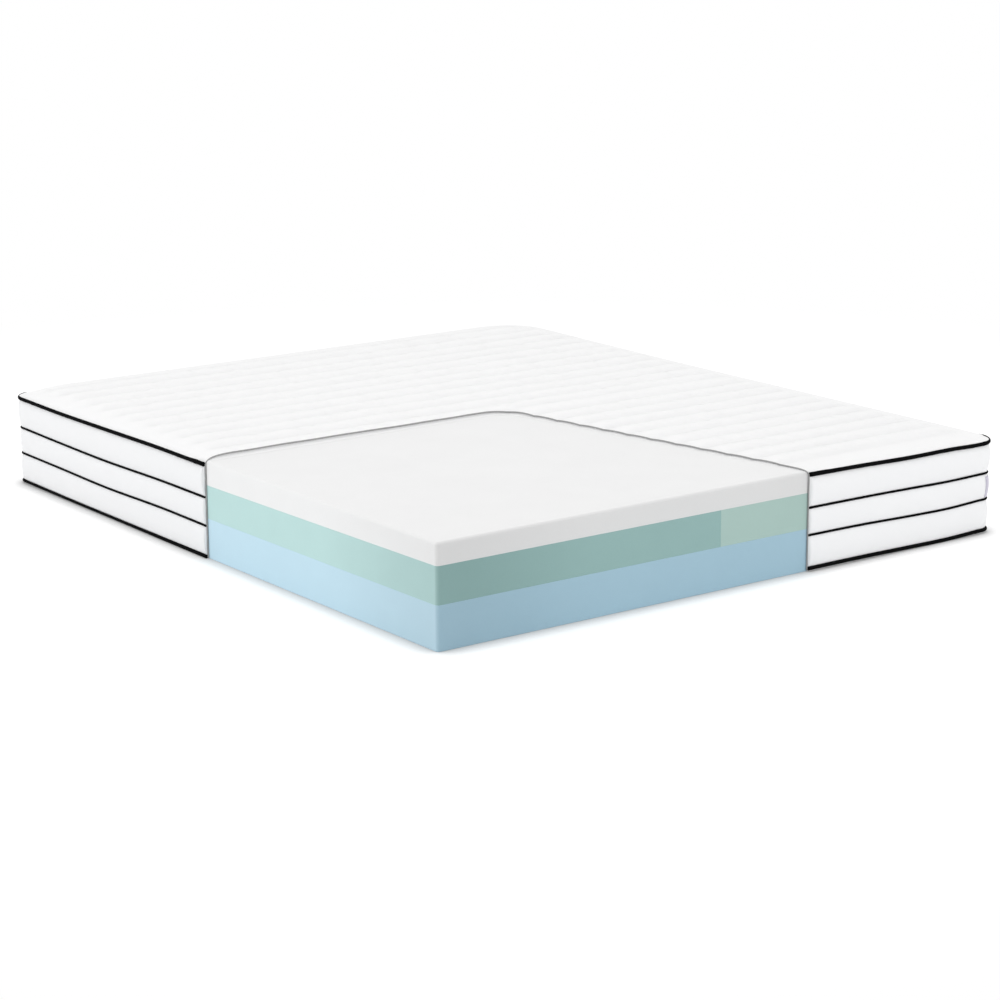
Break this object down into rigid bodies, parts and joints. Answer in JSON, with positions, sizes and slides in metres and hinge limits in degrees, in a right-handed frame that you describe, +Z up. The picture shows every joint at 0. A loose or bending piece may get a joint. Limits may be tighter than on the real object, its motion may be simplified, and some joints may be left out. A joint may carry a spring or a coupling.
{
  "type": "memory foam mattress",
  "caption": "Layered memory foam mattress in a quilted zip cover with piped border bands, a corner of the cover opened to show the foam.",
  "frame": {"origin": "on the floor, under the middle of the mattress", "axes": "+X across the width, +Y along the length towards the zip end, +Z up; the opened corner is at -X, -Y"},
  "size_m": [1.829, 2.134, 0.2744],
  "materials": {
    "foam_blue": "matte",
    "foam_green_firm": "matte",
    "foam_green_soft": "matte",
    "foam_white": "matte",
    "sleeve_knit": "matte",
    "base_cloth": "matte",
    "cover_knit": "matte",
    "dark_cord": "matte",
    "grey_cord": "matte",
    "label_cloth": "matte",
    "zip_tape": "matte",
    "zip_metal": "satin"
  },
  "bodies": {
    "mattress": {"base_layer": "foam_blue", "transition_block_firm": "foam_green_firm", "transition_block_soft": "foam_green_soft", "comfort_layer": "foam_white", "inner_sleeve": "sleeve_knit", "bottom_panel": "base_cloth", "top_panel": "cover_knit", "lower_band": "cover_knit", "middle_band": "cover_knit", "upper_band": "cover_knit", "bottom_piping": "dark_cord", "lower_stripe_cord": "dark_cord", "upper_stripe_cord": "dark_cord", "top_piping": "dark_cord", "cut_edge_cord": "grey_cord", "side_label": "label_cloth", "zip_tape_upper": "zip_tape", "zip_tape_lower": "zip_tape", "zip_end_stops": "zip_metal"},
    "zip_slider": {"zip_slider": "zip_metal"},
    "zip_pull": {"zip_pull": "zip_metal"}
  },
  "joints": [
    {"name": "zip_slide", "type": "slide", "parent": "mattress", "child": "zip_slider", "axis": [-1, 0, 0], "range_m": [0, 1.682]},
    {"name": "zip_pull_turn", "type": "hinge", "parent": "zip_slider", "child": "zip_pull", "pos_m": [0.841, 1.0652, 0.02], "axis": [0, 0, -1], "range_deg": [0, 170]}
  ]
}
